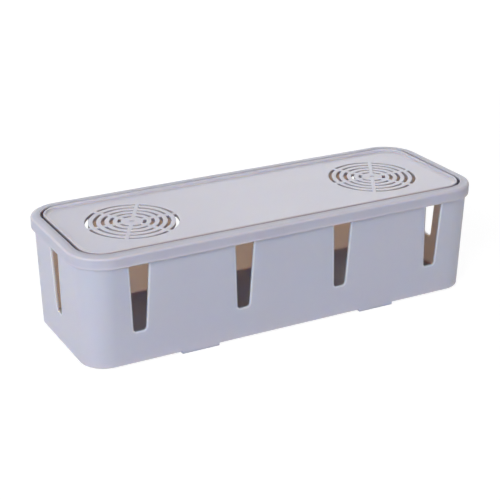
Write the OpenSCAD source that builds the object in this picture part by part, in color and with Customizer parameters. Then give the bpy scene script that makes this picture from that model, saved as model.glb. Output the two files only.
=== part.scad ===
// Cable management box: a tapered tub with a cable notch beside every socket, a rim frame that
// caps the tub and closes the notches, and a vented lid panel that drops into the frame.
// Millimetres. +X runs along the length, +Y to the back, +Z up. The origin is the middle of the
// footprint, on the surface that the feet stand on.

/* [Overall size] */
// Length over the rim frame
overall_l = 265; // [240:1:320]
// Depth over the rim frame
overall_w = 95; // [90:1:130]
// Height from the feet to the top of the lid
overall_h = 70; // [60:1:110]
// Corner radius of the rim frame, seen from above
rim_r = 21.5; // [19:0.5:26]

/* [Tub] */
// Thickness of the walls, measured level
wall_t = 1.5; // [1.2:0.1:2]
// Thickness of the floor
floor_t = 1.8; // [1.2:0.1:3]
// Slope of the walls from upright, in degrees; the tub is wider at the top
wall_draft = 1.8; // [0.5:0.1:2.5]
// Radius of the outer edge between the walls and the underside
base_edge_r = 1.2; // [0.8:0.1:2.5]
// Radius of the inner edge between the walls and the floor
floor_edge_r = 1.2; // [0.8:0.1:5]
// How much tighter the corners of the tub's top are than the rim frame's
corner_step = 4.3; // [2.4:0.1:5]

/* [Feet] */
// Height of the moulded feet
foot_h = 1.2; // [0.8:0.1:3]
// Length of each foot along X
foot_l = 23.5; // [15:0.5:35]
// Width of each foot, from the wall's face inward
foot_w = 9; // [5:0.5:20]
// Distance between the feet of one long side, middle to middle
foot_pitch = 119.5; // [80:0.5:150]

/* [Cable notches] */
// Distance between the notches of a long side, middle to middle
notch_pitch = 65; // [55:0.2:70]
// Number of notches in each long side
notch_count = 4; // [1:1:4]
// Width of a notch across its bottom, before its corners are rounded
notch_w = 8; // [6.5:0.1:10]
// Height of a notch's bottom above the table
notch_z = 20.8; // [12:0.1:40]
// Slope of a notch's sides from upright, in degrees
notch_flare = 2.9; // [1:0.1:5]
// Radius of a notch's bottom corners
notch_r = 2.1; // [1:0.1:3]

/* [Rim frame] */
// Height of the frame's outer skirt
skirt_h = 7.6; // [6:0.1:12]
// Thickness of the skirt
skirt_t = 2; // [1.4:0.1:2.6]
// Clearance between the skirt and the top of the tub's wall
skirt_gap = 0.4; // [0.3:0.05:0.8]
// Thickness of the frame's top
frame_top_t = 2; // [1.6:0.1:3]
// Slope of the frame's top from level, in degrees; it falls outward
rim_fall = 8; // [0:0.5:10]
// Thickness of the frame's inner wall, which hangs inside the tub
plug_t = 1.2; // [1:0.1:1.6]
// Clearance between the frame's inner wall and the tub's wall
plug_gap = 0.35; // [0.3:0.05:0.6]
// Depth of the well that holds the lid, from the frame's top to its ledge
well_depth = 6; // [5:0.1:9]
// Width of the ledge that the lid stands on
ledge_w = 2.2; // [1.6:0.1:3]
// Thickness of the ledge
ledge_t = 1.5; // [1:0.1:2.5]
// Radius of the frame's outer top edge
rim_edge_r = 1.5; // [0.6:0.1:1.9]
// Radius of the skirt's lower outer edge
skirt_edge_r = 0.4; // [0.2:0.1:0.6]
// Radius of the frame's inner top edge
well_edge_r = 0.5; // [0.2:0.1:0.9]

/* [Lid panel] */
// Thickness of the panel
lid_t = 2; // [1.6:0.1:3]
// Depth of the panel's face below the top of its border
lid_sink = 1.6; // [1.5:0.1:2.5]
// Width of the raised border round the panel
border_w = 1.1; // [1.1:0.1:4]
// Radius of the border's inner top edge
border_edge_r = 0.3; // [0.2:0.1:0.3]
// Radius of the inner edge between the border and the panel's face
border_foot_r = 1.1; // [0.3:0.1:1.1]
// Width of the shadow gap between the frame and the panel
shadow_gap = 1.8; // [1:0.1:2.5]
// Thickness of the lip under the panel's edge
lip_t = 1.4; // [1:0.1:2]
// Thickness of the lip's foot, which stands on the ledge
lip_foot_t = 1.2; // [0.8:0.1:2]
// Clearance that centres the lip's foot in the well
lid_gap = 0.3; // [0.2:0.05:0.6]
// Radius of the border's outer top edge
lid_edge_r = 0.6; // [0.3:0.1:0.7]

/* [Vents] */
// Distance between the two vents, middle to middle
vent_pitch = 163.8; // [80:0.2:166]
// Number of slotted rings in each vent
vent_rings = 5; // [2:1:5]
// Middle radius of the innermost ring
vent_first_r = 7.4; // [5:0.1:8]
// Distance from one ring to the next
vent_ring_pitch = 4.7; // [4:0.05:5]
// Width of the slots
vent_slot_w = 2.1; // [1:0.1:2.6]
// Number of spokes that cross the rings
vent_spokes = 6; // [3:1:8]
// Width of the spokes
spoke_w = 2.2; // [1.5:0.1:3]
// Radius of the round dimple at the middle of each vent
gate_r = 1.5; // [1:0.1:2.5]
// Depth of that dimple
gate_d = 0.3; // [0.2:0.05:0.5]

/* [Hidden] */
$fn = 96;
// How far a cutter reaches past the face that it opens
past = 1;

// Levels
lid_face_z = overall_h - lid_sink;
lid_z = lid_face_z - lid_t;
wall_top_z = overall_h - frame_top_t;
skirt_z = overall_h - skirt_h;
ledge_top_z = overall_h - well_depth;
ledge_z = ledge_top_z - ledge_t;
floor_z = foot_h + floor_t;

// Middles of the rounded corners, for the rim frame and the lid, and for the tub
rim_middle = [overall_l / 2 - rim_r, overall_w / 2 - rim_r];
tub_r = rim_r - corner_step;
wall_inset = skirt_t + skirt_gap;
tub_middle = [overall_l / 2 - wall_inset - tub_r, overall_w / 2 - wall_inset - tub_r];

// Faces of the tub's wall at height z, outward from the tub's middles
function wall_out(z) = tub_r - (wall_top_z - z) * tan(wall_draft);
function wall_in(z) = wall_out(z) - wall_t;

// Faces of the channel under the frame that takes the tub's wall, outward from the tub's middles
channel_in = wall_in(ledge_z) - plug_gap;
channel_out = tub_r + skirt_gap;

// Faces of the frame and the lid, outward from the rim's middles
well_r = rim_r - wall_inset - (tub_r - channel_in) - plug_t;
ledge_r = well_r - ledge_w;
lid_r = well_r - shadow_gap;
lip_foot_r = well_r - lid_gap;

// Height of the frame's top, outward from the rim's middles
function rim_top_z(out) = overall_h - (out - well_r) * tan(rim_fall);

// Sweeps a section around the rectangle whose corner is middle, with a quarter turn at each corner.
// In the section, x is the distance outward from that rectangle and y is the height.
module swept(middle) {
    for (turn = [0, 180]) rotate(turn) {
        translate([-middle.x, middle.y, 0]) rotate([90, 0, 90]) linear_extrude(2 * middle.x) children();
        translate([middle.x, middle.y, 0]) rotate([90, 0, 0]) linear_extrude(2 * middle.y) children();
        translate([middle.x, middle.y, 0]) rotate_extrude(angle = 90) children();
        translate([-middle.x, middle.y, 0]) rotate(90) rotate_extrude(angle = 90) children();
    }
}

// Fills the rectangle that swept() leaves open, from height z up by t
module middle_slab(middle, z, t) {
    translate([-middle.x, -middle.y, z]) cube([2 * middle.x, 2 * middle.y, t]);
}

// Rectangle of a section, from (x0, z0) to (x1, z1)
module bar(x0, z0, x1, z1) {
    translate([x0, z0]) square([x1 - x0, z1 - z0]);
}

// What rounding takes off a corner at (x, z); (in_x, in_z) points into the material. The corner's
// upright side is at x, and its other side falls by fall degrees outward.
module corner_off(x, z, in_x, in_z, r, fall = 0) {
    x_mid = x + in_x * r;
    z_mid = z - in_x * r * tan(fall) + in_z * r / cos(fall);
    x_end = x_mid + r * sin(fall);
    z_end = z_mid - in_z * r * cos(fall);
    difference() {
        polygon([
            [x_mid, z_mid],
            [x_end, z_end],
            [x_end, z_end - in_z * past],
            [x - in_x * past, z_end - in_z * past],
            [x - in_x * past, z_mid]
        ]);
        translate([x_mid, z_mid]) circle(r);
    }
}

// Half outline from x = 0 to a side that leans outward by lean degrees and stands at x_top at
// height z_top, with its lower corner rounded
module leaning_half(x_top, z_bottom, z_top, lean, r) {
    z_mid = z_bottom + r;
    x_mid = x_top - (z_top - z_mid) * tan(lean) - r / cos(lean);
    polygon([
        [0, z_bottom],
        [x_mid, z_bottom],
        [x_mid + r * cos(lean), z_mid - r * sin(lean)],
        [x_top, z_top],
        [0, z_top]
    ]);
    translate([x_mid, z_mid]) circle(r);
}

// Outline of a notch, open at the top of the wall
module notch_outline() {
    top_z = wall_top_z + past;
    half_w = notch_w / 2 + (top_z - notch_z) * tan(notch_flare);
    for (side = [0, 1]) mirror([side, 0]) leaning_half(half_w, notch_z, top_z, notch_flare, notch_r);
}

// Notches through the front and back walls, and through the two end walls
module notches() {
    first = -notch_pitch * (notch_count - 1) / 2;
    for (i = [0 : notch_count - 1])
        translate([first + i * notch_pitch, overall_w / 2, 0])
            rotate([90, 0, 0]) linear_extrude(overall_w) notch_outline();
    translate([-overall_l / 2, 0, 0]) rotate([90, 0, 90]) linear_extrude(overall_l) notch_outline();
}

// A foot at the back, flush with the wall's face
module foot() {
    blend_z = foot_h + base_edge_r;
    face_y = tub_middle.y + wall_out(0);
    rotate([90, 0, 90]) linear_extrude(foot_l, center = true) polygon([
        [face_y - foot_w, 0],
        [face_y, 0],
        [tub_middle.y + wall_out(blend_z), blend_z],
        [face_y - foot_w, blend_z]
    ]);
}

module box_body() {
    color([0.72, 0.72, 0.79]) {
        difference() {
            union() {
                swept(tub_middle) difference() {
                    leaning_half(wall_out(wall_top_z), foot_h, wall_top_z, wall_draft, base_edge_r);
                    leaning_half(wall_in(wall_top_z + past), floor_z, wall_top_z + past,
                                 wall_draft, floor_edge_r);
                }
                middle_slab(tub_middle, foot_h, floor_t);
                for (turn = [0, 180], side = [-1, 1])
                    rotate(turn) translate([side * foot_pitch / 2, 0, 0]) foot();
            }
            notches();
        }
    }
}

module rim_frame() {
    // The channel parts the skirt from the inner wall, so this line lies inside it
    parting_r = rim_r - wall_inset;
    color([0.75, 0.75, 0.82]) difference() {
        swept(rim_middle) difference() {
            union() {
                bar(parting_r, skirt_z, rim_r, overall_h);
                bar(well_r, ledge_z, parting_r, overall_h);
                bar(ledge_r, ledge_z, well_r, ledge_top_z);
            }
            polygon([
                [well_r, rim_top_z(well_r)],
                [rim_r + past, rim_top_z(rim_r + past)],
                [rim_r + past, overall_h + past],
                [well_r, overall_h + past]
            ]);
            corner_off(rim_r, rim_top_z(rim_r), -1, -1, rim_edge_r, rim_fall);
            corner_off(rim_r, skirt_z, -1, 1, skirt_edge_r);
            corner_off(well_r, overall_h, 1, -1, well_edge_r, rim_fall);
        }
        swept(tub_middle) bar(channel_in, min(skirt_z, ledge_z) - past, channel_out, wall_top_z);
    }
}

// The slots of one vent: rings cut into arcs by the spokes
module vent() {
    outer_r = vent_first_r + (vent_rings - 1) * vent_ring_pitch + vent_slot_w / 2;
    translate([0, 0, lid_z - past]) linear_extrude(lid_t + 2 * past) difference() {
        for (i = [0 : vent_rings - 1]) {
            mid_r = vent_first_r + i * vent_ring_pitch;
            difference() {
                circle(mid_r + vent_slot_w / 2);
                circle(mid_r - vent_slot_w / 2);
            }
        }
        for (i = [0 : vent_spokes - 1])
            rotate(i * 360 / vent_spokes) translate([0, -spoke_w / 2]) square([outer_r + past, spoke_w]);
    }
}

module lid_panel() {
    border_in = lid_r - border_w;
    color([0.80, 0.80, 0.85]) difference() {
        union() {
            swept(rim_middle) difference() {
                union() {
                    bar(0, lid_z, lid_r, lid_face_z);
                    bar(border_in, lid_z, lid_r, overall_h);
                    corner_off(border_in, lid_face_z, -1, 1, border_foot_r);
                    bar(lid_r - lip_t, ledge_top_z, lid_r, lid_face_z);
                    bar(lid_r - lip_t, ledge_top_z, lip_foot_r, ledge_top_z + lip_foot_t);
                }
                corner_off(lid_r, overall_h, -1, -1, lid_edge_r);
                corner_off(border_in, overall_h, 1, -1, border_edge_r);
            }
            middle_slab(rim_middle, lid_z, lid_t);
        }
        for (side = [-1, 1]) translate([side * vent_pitch / 2, 0, 0]) {
            vent();
            translate([0, 0, lid_face_z - gate_d]) cylinder(h = gate_d + past, r = gate_r);
        }
    }
}

box_body();
rim_frame();
lid_panel();
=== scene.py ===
"""Looks of the cable management box: camera, studio, and moulded plastic on the three CAD nodes."""

import math

import bpy
from mathutils import Matrix, Vector


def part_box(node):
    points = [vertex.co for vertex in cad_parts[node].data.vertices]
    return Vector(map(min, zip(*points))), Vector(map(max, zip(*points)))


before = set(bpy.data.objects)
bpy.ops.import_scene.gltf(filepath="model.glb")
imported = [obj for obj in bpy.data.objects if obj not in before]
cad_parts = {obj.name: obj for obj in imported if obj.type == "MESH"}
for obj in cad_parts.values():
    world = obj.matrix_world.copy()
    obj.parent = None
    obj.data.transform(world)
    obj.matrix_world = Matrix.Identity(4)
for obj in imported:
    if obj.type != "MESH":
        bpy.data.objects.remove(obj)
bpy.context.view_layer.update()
MM = 0.001

# Sizes that the materials follow, in metres, as part.scad gives or derives them
RIM_R = 21.5 * MM
SHADOW_GAP = 1.8 * MM
LID_GAP = 0.3 * MM
LID_SINK = 1.6 * MM
RIM_LOW, RIM_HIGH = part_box("rim_frame")
_, LID_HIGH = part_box("lid_panel")
RIM_MIDDLE = (RIM_HIGH.x - RIM_R, RIM_HIGH.y - RIM_R)
WELL_R = LID_HIGH.x - RIM_MIDDLE[0] + LID_GAP
LID_R = WELL_R - SHADOW_GAP
LID_FACE_Z = LID_HIGH.z - LID_SINK
NOTCH_PITCH = 65 * MM
NOTCH_HALF_W = 4 * MM
NOTCH_Z = 20.8 * MM
NOTCH_SLOPE = math.tan(math.radians(2.9))
NOTCH_R = 2.1 * MM
VENT_X = 81.9 * MM
VENT_R = 27.25 * MM


# ---------------------------------------------------------------- camera


def make_camera():
    """The photograph's viewpoint: a long lens from the front left, a little above."""
    azimuth, elevation, roll = math.radians(-28.466), math.radians(22.759), math.radians(0.248)
    distance = 787.4 * MM
    target = Vector((-4.98, 0, 35.29)) * MM
    lens, sensor = 93.11, 36.0
    near, far = 0.05, 20

    back = Vector((math.sin(azimuth) * math.cos(elevation),
                   -math.cos(azimuth) * math.cos(elevation),
                   math.sin(elevation)))
    right = Vector((math.cos(azimuth), math.sin(azimuth), 0))
    up = back.cross(right)
    rolled_right = right * math.cos(roll) + up * math.sin(roll)
    rolled_up = up * math.cos(roll) - right * math.sin(roll)

    data = bpy.data.cameras.new("camera")
    data.lens, data.sensor_width, data.sensor_fit = lens, sensor, "HORIZONTAL"
    data.clip_start, data.clip_end = near, far
    camera = bpy.data.objects.new("camera", data)
    bpy.context.scene.collection.objects.link(camera)
    turn = Matrix((rolled_right, rolled_up, back)).transposed()
    camera.matrix_world = Matrix.Translation(target + back * distance) @ turn.to_4x4()
    bpy.context.scene.camera = camera


# ---------------------------------------------------------------- node helpers


class Graph:
    """Adds nodes to one node tree in short calls. An input may be a socket or a constant."""

    def __init__(self, owner):
        """Starts the owner's node tree afresh."""
        owner.use_nodes = True
        self.tree = owner.node_tree
        self.tree.nodes.clear()

    def put(self, socket, value):
        """Links a socket to an input, or sets the input's constant."""
        if isinstance(value, bpy.types.NodeSocket):
            self.tree.links.new(value, socket)
        else:
            socket.default_value = value

    def node(self, kind, inputs=(), **settings):
        made = self.tree.nodes.new(kind)
        for key, value in settings.items():
            setattr(made, key, value)
        for key, value in dict(inputs).items():
            self.put(made.inputs[key], value)
        return made

    def math(self, operation, *values):
        return self.node("ShaderNodeMath", enumerate(values), operation=operation).outputs[0]

    def vector(self, operation, *values):
        made = self.node("ShaderNodeVectorMath", enumerate(values), operation=operation)
        return made.outputs["Value" if operation == "LENGTH" else "Vector"]

    def ramp(self, value, low, high, to_low=0.0, to_high=1.0):
        """Smooth step of value from low..high to to_low..to_high."""
        made = self.node("ShaderNodeMapRange",
                         {"Value": value, "From Min": low, "From Max": high,
                          "To Min": to_low, "To Max": to_high},
                         interpolation_type="SMOOTHSTEP")
        return made.outputs["Result"]

    def noise(self, vector, size, detail):
        """Noise from 0 to 1 whose features are about size metres across."""
        made = self.node("ShaderNodeTexNoise",
                         {"Vector": vector, "Scale": 1 / size, "Detail": detail, "Roughness": 0.5})
        return made.outputs["Fac"]

    def mix(self, factor, a, b, blend="MIX"):
        """Colour between a and b."""
        made = self.tree.nodes.new("ShaderNodeMix")
        made.data_type, made.blend_type = "RGBA", blend
        values = {"Factor_Float": factor, "A_Color": a, "B_Color": b}
        for socket in made.inputs:
            if socket.identifier in values:
                self.put(socket, values[socket.identifier])
        return next(s for s in made.outputs if s.identifier == "Result_Color")

    def height(self, position):
        """Height of a point above the table."""
        return self.node("ShaderNodeSeparateXYZ", {0: position}).outputs["Z"]


def linear(hex_colour):
    """sRGB #rrggbb as linear RGBA."""
    parts = [int(hex_colour[i:i + 2], 16) / 255 for i in (1, 3, 5)]
    return (*(c / 12.92 if c <= 0.04045 else ((c + 0.055) / 1.055) ** 2.4 for c in parts), 1.0)


def outward(g, position):
    """Distance of a point outward from the middles of the rim's corners, seen from above."""
    flat = g.vector("MULTIPLY", position, (1, 1, 0))
    past = g.vector("SUBTRACT", g.vector("ABSOLUTE", flat), (*RIM_MIDDLE, 0))
    return g.vector("LENGTH", g.vector("MAXIMUM", past, (0, 0, 0)))


# ---------------------------------------------------------------- materials

BODY_COLOUR = linear("#c5bfcd")
RIM_COLOUR = linear("#b4b5c5")
LID_COLOUR = linear("#c5c3d1")
# Painted shade: a dark colour laid into the plastic where the gap between rim and lid, the vents'
# slots and the strips beside the gap fall dark
PAINTED_SHADE = linear("#6e6d7c")
# Painted highlight: a pale colour laid into the plastic where rounded edges catch light, and
# painted light where the lid's border foot falls in shade
PAINTED_HIGHLIGHT = linear("#e6dcdf")

# How far light runs inside each moulding, and how far red, green and blue run of that
BODY_GLOW, RIM_GLOW, LID_GLOW = 11 * MM, 4 * MM, 6 * MM
GLOW_BY_COLOUR = (1.0, 0.68, 0.42)
PLASTIC_IOR = 1.49

CLOUD_SIZE = 55 * MM
CLOUD_DARKEST = 0.975
CLOUD_ROUGHNESS = (0.40, 0.46)
GRAIN_SIZE = 0.45 * MM
GRAIN_DEPTH = 0.02 * MM
GRAIN_STRENGTH = 0.25
GRAIN_ROUGHNESS = 0.05
EDGE_SOFTNESS = 0.7 * MM
EDGE_SAMPLES = 6

# Strength of each painted mark: painted shade in the gap, in the slots and beside the gap; painted
# highlights along edges; painted light at the border's foot
SHADE_IN_GAP = 0.7
SHADE_IN_SLOTS = 0.5
SHADE_ON_RIM_TOP = 0.3
SHADE_ON_LID_EDGE = 0.2
HIGHLIGHT_ON_RIM_TOP = 0.17
HIGHLIGHT_ON_RIM_SKIRT = 0.12
LIGHT_ON_BORDER_FOOT = 0.55
HIGHLIGHT_ON_NOTCH = 0.6
HIGHLIGHT_ON_NOTCH_WIDTH = 1.3 * MM


def plastic(name, colour, glow, *painted_colours):
    """Translucent moulded plastic with a fine spark texture and a slight cloudiness.

    Each painted colour comes with a function that makes its mask: 1 where it is painted, 0 where
    it isn't. The marks are painted shade, painted highlights and painted light in the base colour.
    """
    material = bpy.data.materials.new(name)
    g = Graph(material)
    position = g.node("ShaderNodeTexCoord").outputs["Object"]

    cloudy = g.noise(position, CLOUD_SIZE, detail=3)
    grain = g.noise(position, GRAIN_SIZE, detail=2)
    tone = g.ramp(cloudy, 0.3, 0.7, CLOUD_DARKEST, 1.0)
    tint = g.node("ShaderNodeCombineColor", {0: tone, 1: tone, 2: tone})
    base = g.mix(1.0, colour, tint.outputs[0], "MULTIPLY")
    for painted_colour, mask in painted_colours:
        base = g.mix(mask(g, position), base, painted_colour)
    rough = g.math("ADD", g.ramp(cloudy, 0.25, 0.75, *CLOUD_ROUGHNESS),
                   g.math("MULTIPLY", grain, GRAIN_ROUGHNESS))
    soft_edge = g.node("ShaderNodeBevel", {"Radius": EDGE_SOFTNESS}, samples=EDGE_SAMPLES)
    bump = g.node("ShaderNodeBump", {"Height": grain, "Strength": GRAIN_STRENGTH,
                                     "Distance": GRAIN_DEPTH, "Normal": soft_edge.outputs[0]})

    shader = g.node("ShaderNodeBsdfPrincipled",
                    {"Base Color": base, "Roughness": rough, "Normal": bump.outputs[0],
                     "IOR": PLASTIC_IOR, "Subsurface Weight": 1.0, "Subsurface Scale": glow,
                     "Subsurface Radius": GLOW_BY_COLOUR})
    g.node("ShaderNodeOutputMaterial", {"Surface": shader.outputs[0]})
    return material


def gap_shade(g, position, low_out, high_out, upper_depth):
    """Painted shade on the gap's walls from low_out to high_out, from upper_depth under the top
    down.
    """
    z = g.height(position)
    out = outward(g, position)
    soft, top = 0.1 * MM, LID_HIGH.z
    inside = g.math("MULTIPLY", g.ramp(out, low_out - soft, low_out),
                    g.ramp(out, high_out + soft, high_out))
    upper = g.ramp(z, top - upper_depth, top - upper_depth - 0.4 * MM)
    lower = g.ramp(z, top - 4.5 * MM, top - 2.5 * MM)
    between = g.math("MULTIPLY", upper, lower)
    return g.math("MULTIPLY", inside, g.math("MULTIPLY", between, SHADE_IN_GAP))


def rim_shade(g, position):
    """Painted shade on the rim's side of the gap, and a fainter band of it on the rim's top beside
    the gap.
    """
    out = outward(g, position)
    edge_shade = g.math("MULTIPLY", g.ramp(out, WELL_R + 0.1 * MM, WELL_R + 0.5 * MM),
                   g.ramp(out, WELL_R + 3.4 * MM, WELL_R + 0.5 * MM, 0.0, SHADE_ON_RIM_TOP))
    return g.math("MAXIMUM", edge_shade, gap_shade(g, position, LID_R, WELL_R + 0.05 * MM, 1.0 * MM))


def rim_highlights(g, position):
    """Painted highlights along the rim's outer top edge and along the skirt's lower edge."""
    z = g.height(position)
    out = outward(g, position)
    upper = g.math("MULTIPLY", g.ramp(out, RIM_R - 1.2 * MM, RIM_R - 0.7 * MM),
                   g.ramp(z, RIM_HIGH.z - 1.8 * MM, RIM_HIGH.z - 1.1 * MM, 0.0, HIGHLIGHT_ON_RIM_TOP))
    lower = g.math("MULTIPLY", g.ramp(out, RIM_R - 0.8 * MM, RIM_R - 0.6 * MM),
                   g.ramp(z, RIM_LOW.z + 2.0 * MM, RIM_LOW.z + 1.2 * MM, 0.0, HIGHLIGHT_ON_RIM_SKIRT))
    return g.math("MAXIMUM", upper, lower)


def slot_walls(g, position):
    """1 on the walls of the vents' slots, from just below the lid's face."""
    flat = g.vector("MULTIPLY", g.vector("ABSOLUTE", position), (1, 1, 0))
    from_vent = g.vector("LENGTH", g.vector("SUBTRACT", flat, (VENT_X, 0, 0)))
    below_face = g.ramp(g.height(position), LID_FACE_Z - 0.1 * MM, LID_FACE_Z - 0.5 * MM)
    in_vent = g.ramp(from_vent, VENT_R + 0.2 * MM, VENT_R + 0.1 * MM)
    return g.math("MULTIPLY", below_face, in_vent)


def lid_shade(g, position):
    """Painted shade on the lid's side of the gap and on its vents' slot walls, and a fainter band
    of it on its border.
    """
    edge_shade = g.ramp(outward(g, position), LID_R - 1.5 * MM, LID_R, 0.0, SHADE_ON_LID_EDGE)
    slots = g.math("MULTIPLY", slot_walls(g, position), SHADE_IN_SLOTS)
    gap = gap_shade(g, position, LID_R - 0.2 * MM, WELL_R, 0.3 * MM)
    return g.math("MAXIMUM", g.math("MAXIMUM", edge_shade, slots), gap)


def border_foot_light(g, position):
    """Painted light along the inner side of the border round the lid's face, lightening the
    border's foot and the shade it casts.
    """
    out = outward(g, position)
    band = g.math("MULTIPLY", g.ramp(out, LID_R - 4.0 * MM, LID_R - 2.5 * MM),
                  g.ramp(out, LID_R - 1.2 * MM, LID_R - 1.8 * MM))
    above = g.ramp(g.height(position), LID_FACE_Z - 0.3 * MM, LID_FACE_Z - 0.1 * MM,
                   0.0, LIGHT_ON_BORDER_FOOT)
    return g.math("MULTIPLY", band, above)


def notch_highlights(g, position):
    """Painted highlights along the notches' edges."""
    place = g.node("ShaderNodeSeparateXYZ", {0: g.vector("ABSOLUTE", position)}).outputs
    in_pitch = g.math("MODULO", place["X"], NOTCH_PITCH)
    along_wall = g.math("ABSOLUTE", g.math("SUBTRACT", in_pitch, NOTCH_PITCH / 2))
    at_end = g.math("GREATER_THAN", place["X"], RIM_MIDDLE[0])
    aside = g.node("ShaderNodeMix", {"Factor": at_end, "A": along_wall, "B": place["Y"]})
    above = g.math("SUBTRACT", place["Z"], NOTCH_Z)
    half = g.math("ADD", g.math("MULTIPLY", above, NOTCH_SLOPE), NOTCH_HALF_W)
    # Distance outside a rectangle with rounded lower corners, whose sides lean outward
    past_side = g.math("ADD", g.math("SUBTRACT", aside.outputs["Result"], half), NOTCH_R)
    past_foot = g.math("SUBTRACT", NOTCH_R, above)
    corner = g.node("ShaderNodeCombineXYZ", {0: g.math("MAXIMUM", past_side, 0.0),
                                             1: g.math("MAXIMUM", past_foot, 0.0)})
    outside = g.math("SUBTRACT", g.vector("LENGTH", corner.outputs[0]), NOTCH_R)
    return g.ramp(outside, HIGHLIGHT_ON_NOTCH_WIDTH, HIGHLIGHT_ON_NOTCH_WIDTH / 2, 0.0, HIGHLIGHT_ON_NOTCH)


def dress():
    """Puts one plastic, with its painted shade and painted highlights, on each CAD node."""
    finishes = {
        "box_body": plastic("body_plastic", BODY_COLOUR, BODY_GLOW, (PAINTED_HIGHLIGHT, notch_highlights)),
        "rim_frame": plastic("rim_plastic", RIM_COLOUR, RIM_GLOW,
                             (PAINTED_SHADE, rim_shade), (PAINTED_HIGHLIGHT, rim_highlights)),
        "lid_panel": plastic("lid_plastic", LID_COLOUR, LID_GLOW,
                             (PAINTED_SHADE, lid_shade), (PAINTED_HIGHLIGHT, border_foot_light)),
    }
    for name, material in finishes.items():
        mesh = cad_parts[name].data
        mesh.materials.clear()
        mesh.materials.append(material)


# ---------------------------------------------------------------- studio

WHITE = (1, 1, 1, 1)
AMBIENT = 0.08
LIGHTS_AIM = (0, 0, 0.03)
# Name, place in metres, width and height in metres, power in watts
LIGHTS = [
    ("key", (-1.1, -0.9, 0.6), (0.5, 1.0), 12.0),
    ("key_high", (-0.95, -0.8, 1.0), (0.5, 0.5), 2.4),
    ("left", (-1.4, -0.1, 0.7), (1.0, 1.0), 5.0),
    ("front", (0.4, -1.4, 0.6), (1.0, 1.0), 3.2),
    ("front_high", (0.1, -1.2, 1.2), (1.0, 0.8), 3.4),
    ("top", (0, 0, 1.5), (1.2, 1.2), 1.4),
    ("back_right", (0.9, 1.1, 0.9), (1.0, 1.0), 6.5),
    ("back", (-0.2, 1.3, 0.7), (1.2, 1.0), 4.5),
]

FLOOR_HALF = 3.0
FLOOR_DROP = 0.02 * MM
PAPER = (0.86, 0.86, 0.87, 1)
PAPER_GLOW = 1.17
# Distances from the object between which the paper turns plain white
SHADOW_END, WHITE_START = 0.4, 1.2
GLOW_NEAR_OBJECT = 0.75


def area_light(name, place, size, power):
    """A rectangular light that faces the object."""
    data = bpy.data.lights.new(name, "AREA")
    data.shape, data.size, data.size_y, data.energy = "RECTANGLE", size[0], size[1], power
    light = bpy.data.objects.new(name, data)
    bpy.context.scene.collection.objects.link(light)
    light.location = place
    facing = (Vector(LIGHTS_AIM) - Vector(place)).to_track_quat("-Z", "Y")
    light.rotation_euler = facing.to_euler()


def seen_rays(g):
    """1 for camera, glossy and transmission rays, which see the white background."""
    path = g.node("ShaderNodeLightPath").outputs
    return g.math("MAXIMUM", path["Is Camera Ray"],
                  g.math("MAXIMUM", path["Is Glossy Ray"], path["Is Transmission Ray"]))


def make_world():
    """A white background that lights the object only a little."""
    world = bpy.data.worlds.new("studio")
    bpy.context.scene.world = world
    g = Graph(world)
    strength = g.node("ShaderNodeMapRange",
                      {"Value": seen_rays(g), "To Min": AMBIENT, "To Max": 1.0})
    sky = g.node("ShaderNodeBackground",
                 {"Color": WHITE, "Strength": strength.outputs["Result"]})
    g.node("ShaderNodeOutputWorld", {"Surface": sky.outputs[0]})


def make_floor():
    """White paper under the object, which shows its soft shadow."""
    half = FLOOR_HALF
    mesh = bpy.data.meshes.new("floor")
    mesh.from_pydata([(-half, -half, 0), (half, -half, 0), (half, half, 0), (-half, half, 0)],
                     [], [(0, 1, 2, 3)])
    floor = bpy.data.objects.new("floor", mesh)
    bpy.context.scene.collection.objects.link(floor)
    floor.location.z = -FLOOR_DROP

    material = bpy.data.materials.new("floor_paper")
    g = Graph(material)
    paper = g.node("ShaderNodeBsdfDiffuse", {"Color": PAPER})
    glow = g.node("ShaderNodeEmission", {"Color": WHITE, "Strength": PAPER_GLOW})
    # Near the object the paper shows its shadow; far off it is plain white, with no horizon
    away = g.vector("LENGTH", g.node("ShaderNodeTexCoord").outputs["Object"])
    whiter = g.ramp(away, SHADOW_END, WHITE_START, GLOW_NEAR_OBJECT, 1.0)
    share = g.math("MULTIPLY", seen_rays(g), whiter)
    mixed = g.node("ShaderNodeMixShader", {0: share, 1: paper.outputs[0], 2: glow.outputs[0]})
    g.node("ShaderNodeOutputMaterial", {"Surface": mixed.outputs[0]})
    mesh.materials.append(material)


make_camera()
dress()
make_world()
make_floor()
for light in LIGHTS:
    area_light(*light)

scene = bpy.context.scene
scene.view_settings.view_transform = "Standard"
